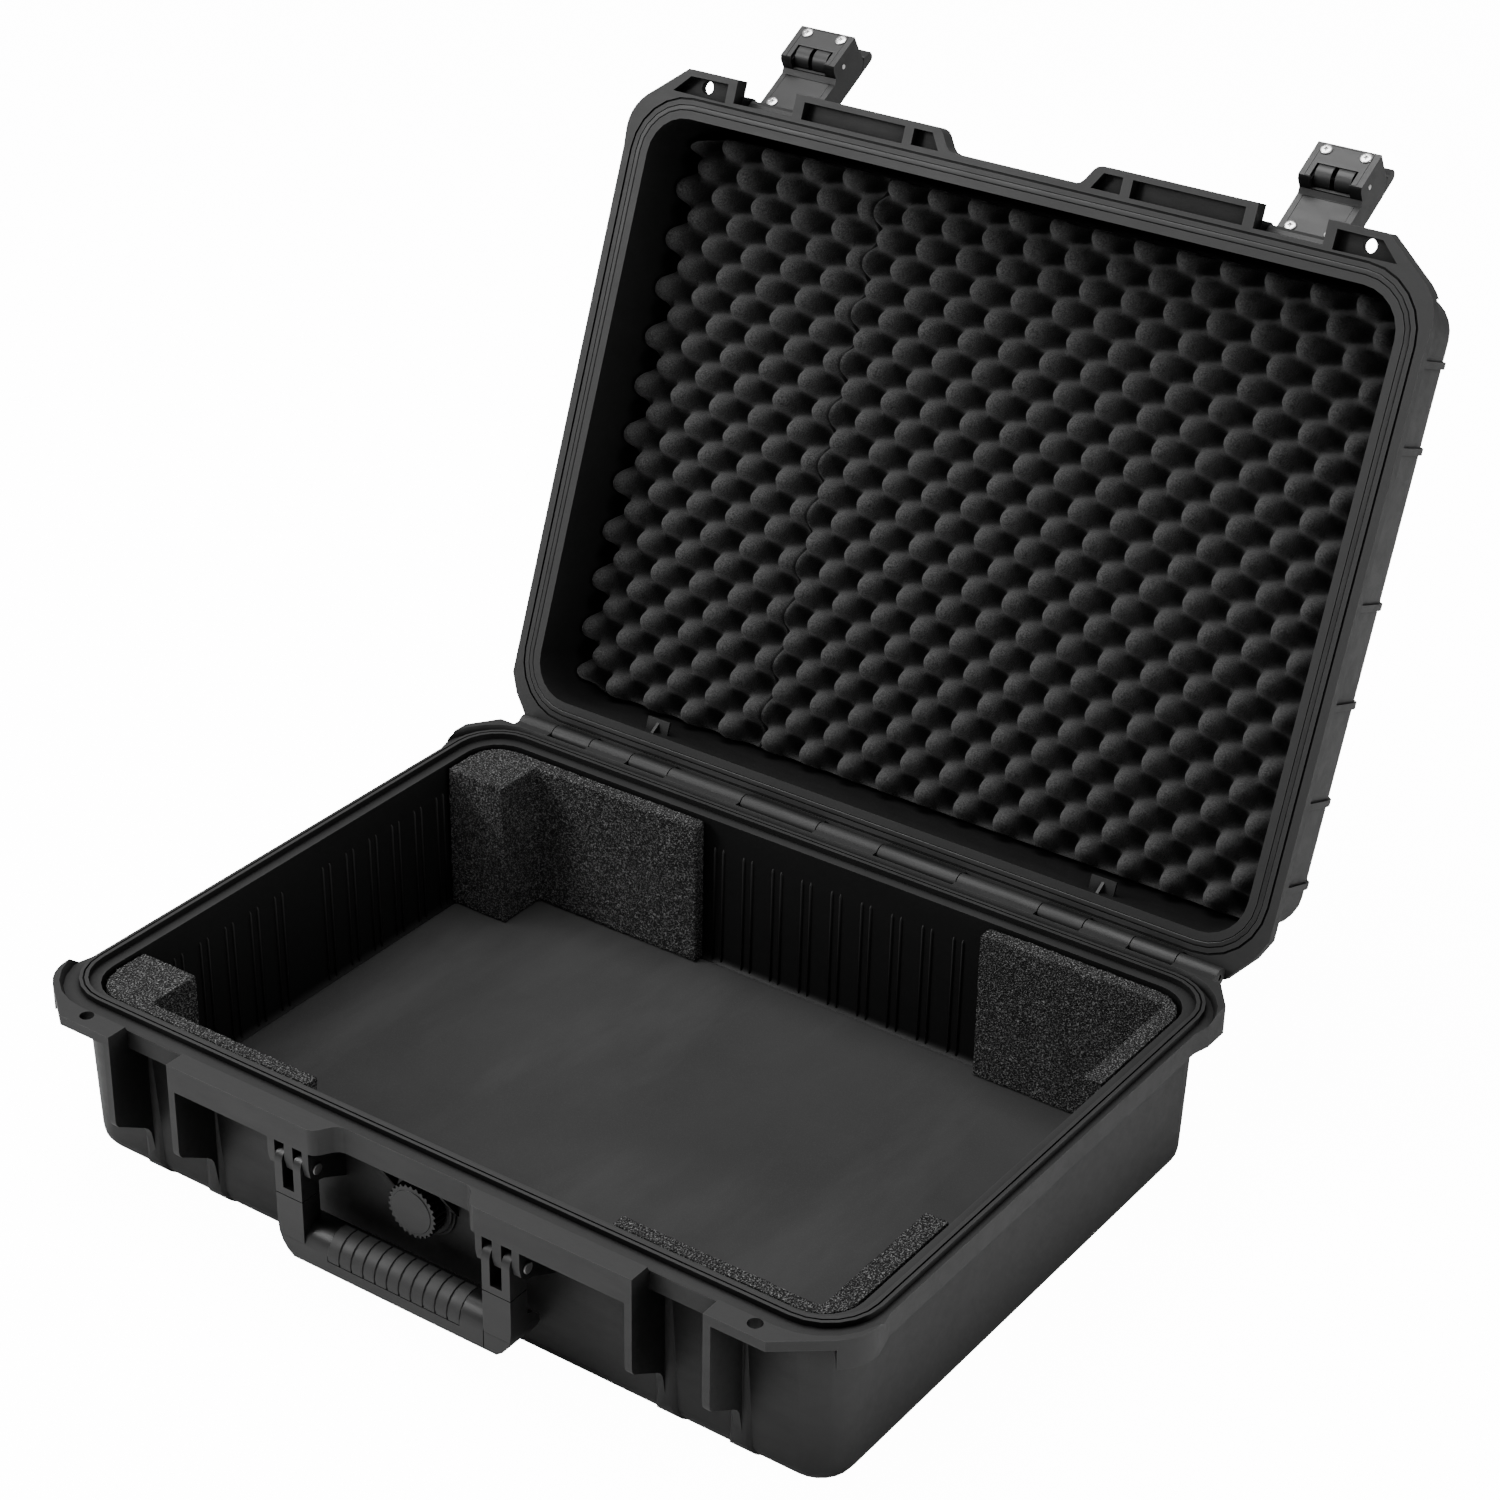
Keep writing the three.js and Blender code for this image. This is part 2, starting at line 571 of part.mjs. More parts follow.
function lidShell() {
  const lip = prismZ(lidOutline(), SEAM, 8);
  const frontBar = prismZ(lidOutline(), 7, 12).intersect(block(-300, 300, -470, -429, 0, 20));
  const dome = loft(LID_WALL, wallStations(SEAM, LID_DEPTH, LID_EDGE.outer, LID_EDGE.outerDraft));
  const solid = join([lip, frontBar, dome, lidSideRibs(), ...latchLugs(), ...lidKnuckles()]);
  const stations = wallStations(SEAM, LID_CEILING, LID_EDGE.inner, LID_EDGE.innerDraft);
  const cavity = loft(LID_CAVITY, [[-1, 0], ...stations]);
  const pivot = LATCH.pin + RUNNING;
  const carved = cut(solid, [
    cavity,
    ring(LID_CAVITY, 5.5, 9.5, -1, 3.3),
    ring(LID_CAVITY, 12.6, 14.1, -1, 1.8),
    ...rimPockets(),
    ...[-1, 1].map((side) => rodZ(side * PADLOCK.x, PADLOCK.y, PADLOCK.radius, -5, 30, 20)),
    rodX(LATCH.pivotY, LATCH.pivotZ, pivot, -230, 230, 12),
    hingeBore(),
  ]);
  return join([carved, ...pouchHooks()]);
}

function lidSeal() {
  return ring(LID_CAVITY, 5.9, 9.1, 0.1, 2.9);
}

function latchPivotPin() {
  return rodX(0, 0, LATCH.pin, -LATCH.half - 5.4, LATCH.half + 5.4, 12);
}

// ---------------------------------------------------------------- latch, drawn in its own axes
// In a latch group x is across the latch, "u" runs from the pivot to the tip and "w" points
// outwards. The profiles below are drawn as (u, w); latchFrame turns them into the closed
// position, with u down the front of the case and w away from it.
function profileUW(shape, x0, x1) {
  const turn = new THREE.Matrix4().makeBasis(
    new THREE.Vector3(0, 0, -1), new THREE.Vector3(0, -1, 0), new THREE.Vector3(-1, 0, 0));
  return toSolid(extrude(shape, x1 - x0).applyMatrix4(turn).translate(x1, 0, 0));
}

const blockUW = (x0, x1, u0, u1, w0, w1) => block(x0, x1, -w1, -w0, -u1, -u0);
const rodAlongX = (u, w, radius, x0, x1, sides) => rodX(-w, -u, radius, x0, x1, sides);
const rodAlongW = (x, u, radius, w0, w1, sides) => rodY(x, -u, radius, -w1, -w0, sides);

// Radius about the lever pin that parts the cheeks from the finger lip.
const LIP_ARC = 23.8;

function latchCheekProfile() {
  const { innerArm, outer, catchU, innerBlock, tip, barrel, leverU, leverW } = LATCH;
  const topAngle = Math.asin((outer - leverW) / LIP_ARC);
  const endAngle = Math.acos((tip - leverU) / LIP_ARC);
  const shape = new THREE.Shape();
  shape.moveTo(0, -barrel);
  shape.lineTo(3, -barrel + 1);
  shape.lineTo(7, innerArm);
  shape.lineTo(catchU - 2, innerArm);
  shape.lineTo(catchU + 1, innerArm - 2.5);
  shape.lineTo(catchU + 1.2, innerBlock + 3);
  shape.lineTo(catchU + 3, innerBlock);
  shape.lineTo(tip, innerBlock);
  shape.absarc(leverU, leverW, LIP_ARC, endAngle, topAngle, false);
  shape.lineTo(4, outer);
  shape.quadraticCurveTo(-barrel, outer - 3, -barrel, 3);
  shape.quadraticCurveTo(-barrel, -barrel, 0, -barrel);
  return shape;
}

function latchBody() {
  const { half, cheek, coverHalf, coverThick, innerArm, innerBlock, tip, leverU, leverW } = LATCH;
  const solid = profileUW(latchCheekProfile(), -half, half);
  const recess = coverHalf + 0.25;
  const depth = coverThick + 0.25;
  const slot = 13.2;
  const roomFloor = 8.4;
  const leverRoom = rodAlongX(leverU, leverW, LIP_ARC - 2.6, -cheek, cheek, 48)
    .intersect(blockUW(-cheek, cheek, 20, 90, roomFloor, 40));
  const catchMouth = blockUW(-slot, slot, LATCH.catchU - 1, leverU, innerBlock - 1, -1);
  const screwBores = LATCH.screwU.flatMap((u, i) => screwHoles(-12, i === 0 ? 13 : 4, 1.5, u));
  return cut(solid, [
    blockUW(-recess, recess, 8, 36.8, innerArm - 8, innerArm + depth),
    blockUW(-recess, recess, 42.4, tip - 1.2, innerBlock - 2, innerBlock + depth),
    leverRoom,
    blockUW(-cheek, cheek, leverU - 2, 90, roomFloor, 40),
    rodAlongX(leverU, leverW, LATCH.hub + 0.5, -slot, slot, 24),
    blockUW(-slot, slot, leverU - 8.9, leverU + 8.9, -1, 12),
    catchMouth,
    rodAlongX(leverU, leverW, LATCH.leverPin + RUNNING, -30, 30, 12),
    rodAlongX(0, 0, LATCH.pin + RUNNING, -30, 30, 12),
    ...screwBores,
  ]);
}

function screwHoles(w0, w1, radius, u) {
  return [-1, 1].map((side) => rodAlongW(side * LATCH.screwX, u, radius, w0, w1, 12));
}

function armCover() {
  const { coverHalf, coverThick, innerArm, screwU } = LATCH;
  const plate = blockUW(-coverHalf, coverHalf, 8.3, 36.5, innerArm, innerArm + coverThick);
  return cut(plate, screwHoles(innerArm - 2, innerArm + 5, 1.5, screwU[0]));
}

function blockCover() {
  const { coverHalf, coverThick, innerBlock, tip, screwU } = LATCH;
  const plate = blockUW(-coverHalf, coverHalf, 42.7, tip - 1.5, innerBlock, innerBlock + coverThick);
  return cut(plate, [
    blockUW(-14, 14, 40, 50.3, innerBlock - 2, innerBlock + 5),
    rodAlongX(LATCH.leverU, LATCH.leverW, LATCH.hub + 0.5, -14, 14, 24),
    ...screwHoles(innerBlock - 2, innerBlock + 5, 1.5, screwU[1]),
  ]);
}

// A low round-headed screw; its head stands on the cover at height w, pointing inwards.
function latchScrew(x, u, w, length) {
  const profile = [[0, 0], [3.1, 0], [3.7, 0.4], [3.7, 1], [1.3, 1], [1.3, length], [0, length]];
  const points = profile.map(([radius, along]) => new THREE.Vector2(radius, along));
  const screw = new THREE.LatheGeometry(points, 12).rotateX(Math.PI);
  return toSolid(screw.translate(x, -(w - 1 - GAP / 3), -u));
}

function latchLever() {
  const { half, leverHalf, outer, tip, lip, leverU, leverW, hub } = LATCH;
  const radius = outer - leverW;
  const plate = new THREE.Shape();
  plate.moveTo(leverU + 1.5, 9.6);
  plate.lineTo(tip - 4, 9.6);
  plate.lineTo(tip - 1.5, 13);
  plate.lineTo(tip - 1.5, outer);
  plate.lineTo(leverU, outer);
  plate.absarc(leverU, leverW, radius, Math.PI / 2, Math.PI * 0.6, false);
  const lipStart = Math.acos((tip + 0.8 - leverU) / (LIP_ARC + 0.4));
  const lipTop = Math.asin((outer - leverW) / (LIP_ARC + 0.4));
  const lipShape = new THREE.Shape();
  lipShape.moveTo(lip - 4, 12.2);
  lipShape.lineTo(lip, 13);
  lipShape.lineTo(lip + 0.6, 16);
  lipShape.quadraticCurveTo(lip, outer, lip - 3, outer);
  lipShape.absarc(leverU, leverW, LIP_ARC + 0.4, lipTop, lipStart, true);
  lipShape.quadraticCurveTo(tip + 2, 10, lip - 4, 12.2);
  const web = blockUW(-leverHalf, leverHalf, leverU + 9, tip + 1.5, 12.5, outer);
  const hubs = [[-12.5, -1.5], [1.5, 12.5]].map(([x0, x1]) => join([
    rodAlongX(leverU, leverW, hub, x0, x1, 24),
    blockUW(x0, x1, leverU - 1, leverU + 7.5, leverW, 12),
  ]));
  const body = join([
    profileUW(plate, -leverHalf, leverHalf),
    profileUW(lipShape, -half, half),
    web,
    ...hubs,
  ]);
  return body.subtract(rodAlongX(leverU, leverW, LATCH.leverPin + RUNNING, -30, 30, 12));
}

function leverPin() {
  return rodAlongX(LATCH.leverU, LATCH.leverW, LATCH.leverPin, -LATCH.half - 0.3, LATCH.half + 0.3, 12);
}

// ---------------------------------------------------------------- assembly
function piece(name, solid, look) {
  const material = new THREE.MeshStandardMaterial(look);
  const mesh = new THREE.Mesh(toGeometry(solid), material);
  mesh.name = name;
  return mesh;
}

function buildBase() {
  const base = new THREE.Group();
  const lugOuter = HANDLE.half + 0.6 + 5.3;
  base.add(
    piece('base_shell', baseShell(), CASE_PLASTIC),
    piece('hinge_pin', hingePin(), BRIGHT_STEEL),
    piece('handle_pin_left', handlePin(-lugOuter, -61.3), BRIGHT_STEEL),
    piece('handle_pin_right', handlePin(61.3, lugOuter), BRIGHT_STEEL),
    piece('valve_body', valveBody(), CASE_PLASTIC),
    piece('valve_nut', valveNut(), CASE_PLASTIC),
    piece('valve_knob', valveKnob(), HANDLE_PLASTIC),
    piece('valve_oring', valveOring(), SEAL_RUBBER),
    piece('handle', handleBail(), HANDLE_PLASTIC),
    piece('handle_grip', handleGrip(), GRIP_RUBBER),
    piece('floor_mat', floorMat(), MAT_FOAM),
  );
  for (const [corner, blocks] of Object.entries(CORNER_FOAM)) {
    base.add(piece(`corner_foam_${corner}`, cornerFoam(blocks), COARSE_FOAM));
  }
  return base;
}

function buildLatch(name) {
  const { screwX, screwU, innerArm, innerBlock } = LATCH;
  const latch = new THREE.Group();
  latch.add(
    piece(`${name}_body`, latchBody(), HANDLE_PLASTIC),
    piece(`${name}_arm_cover`, armCover(), HANDLE_PLASTIC),
    piece(`${name}_block_cover`, blockCover(), HANDLE_PLASTIC),
    piece(`${name}_lever`, latchLever(), HANDLE_PLASTIC),
    piece(`${name}_lever_pin`, leverPin(), BRIGHT_STEEL),
    piece(`${name}_screw_arm_outer`, latchScrew(-screwX, screwU[0], innerArm, 7), BRIGHT_STEEL),
    piece(`${name}_screw_arm_inner`, latchScrew(screwX, screwU[0], innerArm, 7), BRIGHT_STEEL),
    piece(`${name}_screw_tip_outer`, latchScrew(-screwX, screwU[1], innerBlock, 9), BRIGHT_STEEL),
    piece(`${name}_screw_tip_inner`, latchScrew(screwX, screwU[1], innerBlock, 9), BRIGHT_STEEL),
  );
  latch.rotation.x = THREE.MathUtils.degToRad(-LATCH_OPEN_DEG);
  return latch;
}

// The lid turns about the hinge axis; its contents are drawn closed and shifted to that axis.
function buildLid() {
  const closed = new THREE.Group();
  closed.position.z = HINGE_DROP;
  closed.add(
    piece('lid_shell', lidShell(), CASE_PLASTIC),
    piece('lid_seal', lidSeal(), SEAL_RUBBER),
    piece('lid_foam_left', lidFoam(-280, -118.3), FINE_FOAM),
    piece('lid_foam_right', lidFoam(-117.7, 280), FINE_FOAM),
  );
  for (const [name, side] of [['latch_left', -1], ['latch_right', 1]]) {
    const mount = new THREE.Group();
    mount.position.set(side * LATCH.x, LATCH.pivotY, LATCH.pivotZ);
    mount.add(piece(`${name}_pivot_pin`, latchPivotPin(), BRIGHT_STEEL), buildLatch(name));
    closed.add(mount);
  }
  const lid = new THREE.Group();
  lid.position.z = -HINGE_DROP;
  lid.rotation.x = THREE.MathUtils.degToRad(-LID_OPEN_DEG);
  lid.add(closed);
  return lid;
}

const equipmentCase = new THREE.Group();
equipmentCase.name = 'equipment_case';
equipmentCase.position.set(0, HINGE_OFFSET, BASE_DEPTH);
equipmentCase.add(buildBase(), buildLid());

export default equipmentCase;
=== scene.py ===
"""Looks for the hard equipment case: materials, moulded edges, foam, small hardware, light and camera.

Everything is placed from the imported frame, which is in metres. Shapes drawn here are in millimetres, in
"case coordinates": y from the hinge axis (front is negative) and z from the parting plane.
"""
import json
import math

import bmesh
import bpy
import numpy as np
from mathutils import Matrix, Vector, noise

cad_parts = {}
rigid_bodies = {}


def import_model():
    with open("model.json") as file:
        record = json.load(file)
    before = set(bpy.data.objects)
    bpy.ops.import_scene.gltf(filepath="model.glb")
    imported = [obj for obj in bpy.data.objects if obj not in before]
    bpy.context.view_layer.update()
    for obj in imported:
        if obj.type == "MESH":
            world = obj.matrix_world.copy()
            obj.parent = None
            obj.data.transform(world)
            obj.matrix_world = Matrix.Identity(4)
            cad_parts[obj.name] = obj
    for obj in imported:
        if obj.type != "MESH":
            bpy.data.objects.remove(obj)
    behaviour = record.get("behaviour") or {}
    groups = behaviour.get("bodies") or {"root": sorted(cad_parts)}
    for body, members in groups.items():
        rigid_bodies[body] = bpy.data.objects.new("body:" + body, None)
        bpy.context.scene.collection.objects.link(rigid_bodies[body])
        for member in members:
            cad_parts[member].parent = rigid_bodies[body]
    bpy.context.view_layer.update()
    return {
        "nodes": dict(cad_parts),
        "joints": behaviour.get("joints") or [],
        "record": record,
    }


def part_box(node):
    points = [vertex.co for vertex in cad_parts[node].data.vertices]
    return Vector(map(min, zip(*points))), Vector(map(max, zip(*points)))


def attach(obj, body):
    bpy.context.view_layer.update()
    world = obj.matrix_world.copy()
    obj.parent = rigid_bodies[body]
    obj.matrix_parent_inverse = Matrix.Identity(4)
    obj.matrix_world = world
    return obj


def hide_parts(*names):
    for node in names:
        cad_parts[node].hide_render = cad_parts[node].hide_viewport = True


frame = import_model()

MM = 0.001
JOINTS = {joint["name"]: joint for joint in frame["joints"]}
NODES = frame["nodes"]
SLOT_OF = {part["node"]: part["material_slot"] for part in frame["record"]["subparts"]}

# ------------------------------------------------------------------ frames of reference
HINGE = Vector(JOINTS["lid_hinge"]["pos_m"])
LID_OPEN = math.radians(JOINTS["lid_hinge"]["range_deg"][1])
LATCH_OPEN = math.radians(JOINTS["latch_left_pivot"]["range_deg"][1])
PARTING_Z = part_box("base_shell")[1].z

CASE = Matrix.Translation((0, HINGE.y, PARTING_Z)) @ Matrix.Scale(MM, 4)
SWING = Matrix.Translation(HINGE) @ Matrix.Rotation(-LID_OPEN, 4, "X") @ Matrix.Translation(-HINGE)
LID = SWING @ CASE


def latch_frame(side):
    """Closed-latch axes of one latch, in mm from its pivot: -z runs to the tip, -y points outwards."""
    pivot = Vector(JOINTS[f"latch_{side}_pivot"]["pos_m"])
    swing = Matrix.Rotation(-LID_OPEN - LATCH_OPEN, 4, "X")
    return Matrix.Translation(pivot) @ swing @ Matrix.Scale(MM, 4)


# ------------------------------------------------------------------ material tools
class Shader:
    """A small helper that adds and links the nodes of one procedural material."""

    def __init__(self, name):
        self.material = bpy.data.materials.new(name)
        self.material.use_nodes = True
        self.nodes = self.material.node_tree.nodes
        self.links = self.material.node_tree.links
        self.bsdf = self.nodes["Principled BSDF"]
        coordinates = self.nodes.new("ShaderNodeTexCoord")
        self.place = coordinates.outputs["Object"]

    def feed(self, socket, value):
        if isinstance(value, bpy.types.NodeSocket):
            self.links.new(value, socket)
        else:
            socket.default_value = value

    def noise(self, scale, detail=3.0, rough=0.5, stretch=None):
        node = self.nodes.new("ShaderNodeTexNoise")
        node.inputs["Scale"].default_value = scale
        node.inputs["Detail"].default_value = detail
        node.inputs["Roughness"].default_value = rough
        place = self.place
        if stretch:
            mapping = self.nodes.new("ShaderNodeMapping")
            mapping.inputs["Scale"].default_value = stretch
            self.links.new(self.place, mapping.inputs["Vector"])
            place = mapping.outputs["Vector"]
        self.links.new(place, node.inputs["Vector"])
        return node.outputs["Fac"]

    def cell_walls(self, scale):
        """Distance to the nearest wall between neighbouring cells."""
        node = self.nodes.new("ShaderNodeTexVoronoi")
        node.feature = "DISTANCE_TO_EDGE"
        node.inputs["Scale"].default_value = scale
        self.links.new(self.place, node.inputs["Vector"])
        return node.outputs["Distance"]

    def spread(self, value, low, high, start=0.0, stop=1.0):
        node = self.nodes.new("ShaderNodeMapRange")
        self.feed(node.inputs["Value"], value)
        node.inputs["From Min"].default_value = start
        node.inputs["From Max"].default_value = stop
        node.inputs["To Min"].default_value = low
        node.inputs["To Max"].default_value = high
        return node.outputs["Result"]

    def math(self, operation, a, b):
        node = self.nodes.new("ShaderNodeMath")
        node.operation = operation
        self.feed(node.inputs[0], a)
        self.feed(node.inputs[1], b)
        return node.outputs["Value"]

    def mix(self, factor, a, b):
        node = self.nodes.new("ShaderNodeMix")
        node.data_type = "RGBA"
        self.feed(node.inputs["Factor"], factor)
        self.feed(node.inputs["A"], a)
        self.feed(node.inputs["B"], b)
        return node.outputs["Result"]

    def bump(self, height, strength, distance, under=None):
        node = self.nodes.new("ShaderNodeBump")
        node.inputs["Strength"].default_value = strength
        node.inputs["Distance"].default_value = distance
        self.links.new(height, node.inputs["Height"])
        if under:
            self.links.new(under, node.inputs["Normal"])
        return node.outputs["Normal"]

    def edge(self, radius):
        """0 on flat faces, rising to 1 on edges, for rubbed wear and painted edge highlights."""
        bevel = self.nodes.new("ShaderNodeBevel")
        bevel.samples = 4
        bevel.inputs["Radius"].default_value = radius
        geometry = self.nodes.new("ShaderNodeNewGeometry")
        dot = self.nodes.new("ShaderNodeVectorMath")
        dot.operation = "DOT_PRODUCT"
        self.links.new(bevel.outputs["Normal"], dot.inputs[0])
        self.links.new(geometry.outputs["Normal"], dot.inputs[1])
        return self.spread(dot.outputs["Value"], 1.0, 0.0, 0.8, 0.985)

    def openness(self, reach, low, high, own=False):
        """1 on open faces, falling to 0 in corners and pockets, a mask for painted shade; `own` counts only
        the piece itself.
        """
        node = self.nodes.new("ShaderNodeAmbientOcclusion")
        node.samples = 6
        node.only_local = own
        node.inputs["Distance"].default_value = reach
        return self.spread(node.outputs["AO"], 0.0, 1.0, low, high)

    def set(self, **inputs):
        for name, value in inputs.items():
            self.feed(self.bsdf.inputs[name.replace("_", " ")], value)


def grey(value, warmth=0.0):
    return (value * (1 + warmth), value, value * (1 - warmth), 1.0)


def moulded_plastic(name, tone, roughness, grain, wear_and_highlight_amount):
    """Textured black plastic: fine spark grain, cloudy roughness, rubbed edges with painted edge highlights,
    painted shade in hollows.
    """
    s = Shader(name)
    cloud = s.noise(7.0, 5.0, 0.6)
    colour = s.mix(cloud, grey(tone * 0.86), grey(tone * 1.14))
    # Edges lightened in noisy patches: partly rubbed wear, partly a painted edge highlight.
    wear_and_highlight = s.math("MULTIPLY", s.edge(0.0011), s.spread(s.noise(60.0, 4.0), 0.35, 1.0, 0.35, 0.65))
    colour = s.mix(s.math("MULTIPLY", wear_and_highlight, wear_and_highlight_amount), colour, grey(tone * 3.2))
    spark = s.noise(2100.0, 2.0, 0.6)
    colour = s.mix(s.spread(spark, 0.0, 0.35, 0.5, 0.8), colour, grey(tone * 1.7))
    # Painted shade: colour darkened in corners, pockets and gaps between parts.
    colour = s.mix(s.openness(0.07, 0.3, 0.92), grey(tone * 0.2), colour)
    # Painted shade: inner walls and deep hollows of the piece itself darkened.
    lit = s.openness(0.45, 0.45, 0.85, own=True)
    colour = s.mix(lit, grey(tone * 0.25), colour)
    scuffs = s.noise(90.0, 6.0, 0.7, stretch=(0.25, 1.0, 1.0))
    rough = s.math("ADD", s.spread(cloud, roughness - 0.05, roughness + 0.06, 0.3, 0.7),
                   s.spread(scuffs, -0.04, 0.05, 0.4, 0.7))
    normal = s.bump(spark, grain, 0.0004)
    normal = s.bump(s.noise(160.0, 2.0), 0.05, 0.0006, normal)
    # Reflections weakened in the same painted-shade hollows.
    gloss = s.spread(lit, 0.12, 0.38)
    s.set(Base_Color=colour, Roughness=rough, Normal=normal, Specular_IOR_Level=gloss)
    return s.material


def fine_foam():
    """Close-grained polyurethane foam, almost black, with a dusty sheen."""
    s = Shader("fine_foam")
    pores = s.noise(900.0, 3.0, 0.7)
    colour = s.mix(s.spread(pores, 0.0, 1.0, 0.38, 0.66), grey(0.012), grey(0.075))
    colour = s.mix(s.spread(s.noise(30.0, 4.0), 0.0, 0.35, 0.4, 0.7), colour, grey(0.034))
    # Painted shade: darker in the valleys between the lobes and in corners.
    colour = s.mix(s.openness(0.03, 0.15, 0.75), grey(0.003), colour)
    normal = s.bump(pores, 0.9, 0.0011)
    s.set(Base_Color=colour, Roughness=0.95, Normal=normal)
    s.bsdf.inputs["Specular IOR Level"].default_value = 0.2
    s.bsdf.inputs["Sheen Weight"].default_value = 0.12
    s.bsdf.inputs["Sheen Roughness"].default_value = 0.6
    return s.material


def coarse_foam():
    """Open-cell foam: torn cell walls catch the light over dark pits."""
    s = Shader("coarse_foam")
    walls = s.spread(s.cell_walls(640.0), 1.0, 0.0, 0.03, 0.3)
    pits = s.noise(820.0, 3.0, 0.65)
    speck = s.math("MULTIPLY", walls, s.spread(pits, 0.0, 1.0, 0.47, 0.62))
    colour = s.mix(speck, grey(0.006), grey(0.3))
    normal = s.bump(s.math("ADD", walls, pits), 1.0, 0.0018)
    s.set(Base_Color=colour, Roughness=0.8, Normal=normal)
    s.bsdf.inputs["Specular IOR Level"].default_value = 0.35
    return s.material


def mat_foam():
    """Closed-cell sheet with faint rubbed patches and shallow creases."""
    s = Shader("mat_foam")
    patches = s.noise(5.5, 6.0, 0.6)
    creases = s.noise(9.0, 3.0, 0.5, stretch=(1.0, 0.35, 1.0))
    strokes = s.noise(7.0, 5.0, 0.65, stretch=(1.5, 0.45, 1.0))
    colour = s.mix(s.spread(patches, 0.0, 1.0, 0.35, 0.68), grey(0.022), grey(0.031))
    colour = s.mix(s.spread(strokes, 0.0, 0.8, 0.5, 0.72), colour, grey(0.04))
    skin = s.noise(1500.0, 2.0, 0.6)
    colour = s.mix(s.spread(skin, 0.0, 0.3, 0.5, 0.75), colour, grey(0.055))
    normal = s.bump(creases, 0.35, 0.004)
    normal = s.bump(skin, 0.3, 0.0003, normal)
    s.set(Base_Color=colour, Roughness=0.86, Normal=normal)
    s.bsdf.inputs["Specular IOR Level"].default_value = 0.3
    return s.material


def rubber(name, tone, roughness):
    s = Shader(name)
    cloud = s.noise(40.0, 4.0)
    skin = s.noise(1300.0, 2.0)
    s.set(Base_Color=s.mix(cloud, grey(tone * 0.8), grey(tone * 1.3)),
          Roughness=s.spread(cloud, roughness - 0.06, roughness + 0.06, 0.3, 0.7),
          Normal=s.bump(skin, 0.2, 0.0003))
    return s.material


def steel(name, tone, roughness):
    """Plated steel with turning marks and light handling marks."""
    s = Shader(name)
    turned = s.noise(900.0, 3.0, 0.6, stretch=(1.0, 0.15, 0.15))
    handling = s.noise(220.0, 4.0)
    s.set(Base_Color=s.mix(handling, grey(tone * 0.9), grey(tone * 1.08, 0.01)),
          Metallic=1.0,
          Roughness=s.spread(handling, roughness - 0.08, roughness + 0.1, 0.3, 0.7),
          Normal=s.bump(turned, 0.12, 0.0002))
    return s.material


MATERIALS = {
    "case_plastic": moulded_plastic("case_plastic", 0.019, 0.52, 0.22, 0.5),
    "fitting_plastic": moulded_plastic("fitting_plastic", 0.015, 0.4, 0.14, 0.6),
    "grip_rubber": rubber("grip_rubber", 0.013, 0.55),
    "seal_rubber": rubber("seal_rubber", 0.008, 0.45),
    "fine_foam": fine_foam(),
    "coarse_foam": coarse_foam(),
    "mat_foam": mat_foam(),
    "bright_steel": steel("bright_steel", 0.8, 0.24),
    "worn_steel": steel("worn_steel", 0.3, 0.42),
}


# ------------------------------------------------------------------ mesh tools
def add_piece(name, mesh, body, slot, stands_for=()):
    """Shows a mesh as a smooth-shaded piece that rides on a body, perhaps in place of CAD nodes."""
    mesh.polygons.foreach_set("use_smooth", [True] * len(mesh.polygons))
    mesh.materials.clear()
    mesh.materials.append(MATERIALS[slot])
    piece = bpy.data.objects.new(name, mesh)
    bpy.context.scene.collection.objects.link(piece)
    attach(piece, body)
    if stands_for:
        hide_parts(*stands_for)
    return piece


def mesh_from(name, points, faces, place):
    mesh = bpy.data.meshes.new(name)
    mesh.from_pydata([tuple(p) for p in points], [], faces)
    mesh.transform(place)
    work = bmesh.new()
    work.from_mesh(mesh)
    bmesh.ops.recalc_face_normals(work, faces=work.faces)
    work.to_mesh(mesh)
    work.free()
    return mesh


def join_meshes(name, meshes):
    work = bmesh.new()
    for mesh in meshes:
        work.from_mesh(mesh)
        bpy.data.meshes.remove(mesh)
    joined = bpy.data.meshes.new(name)
    work.to_mesh(joined)
    work.free()
    return joined


def baked(mesh, prepare):
    """The mesh after the modifiers that `prepare` adds to a temporary object."""
    holder = bpy.data.objects.new("holder", mesh)
    bpy.context.scene.collection.objects.link(holder)
    prepare(holder)
    graph = bpy.context.evaluated_depsgraph_get()
    result = bpy.data.meshes.new_from_object(holder.evaluated_get(graph))
    bpy.data.objects.remove(holder)
    return result


def remeshed(node, voxel):
    def prepare(holder):
        modifier = holder.modifiers.new("remesh", "REMESH")
        modifier.mode = "VOXEL"
        modifier.voxel_size = voxel * MM
    return baked(NODES[node].data.copy(), prepare)


# ------------------------------------------------------------------ CAD pieces: moulded edges
EDGE_MM = {
    "case_plastic": 1.0,
    "fitting_plastic": 0.7,
    "grip_rubber": 0.4,
    "seal_rubber": 0.8,
    "bright_steel": 0.4,
}
FINE_EDGE_MM = {"valve_knob": 0.3}
FLAT_WITHIN = math.radians(0.6)
SHARP_FROM = math.radians(32)


def cad_material(node):
    """The slot's material, except that the handle's pins are duller than the other steel."""
    return MATERIALS["worn_steel" if node.startswith("handle_pin") else SLOT_OF[node]]


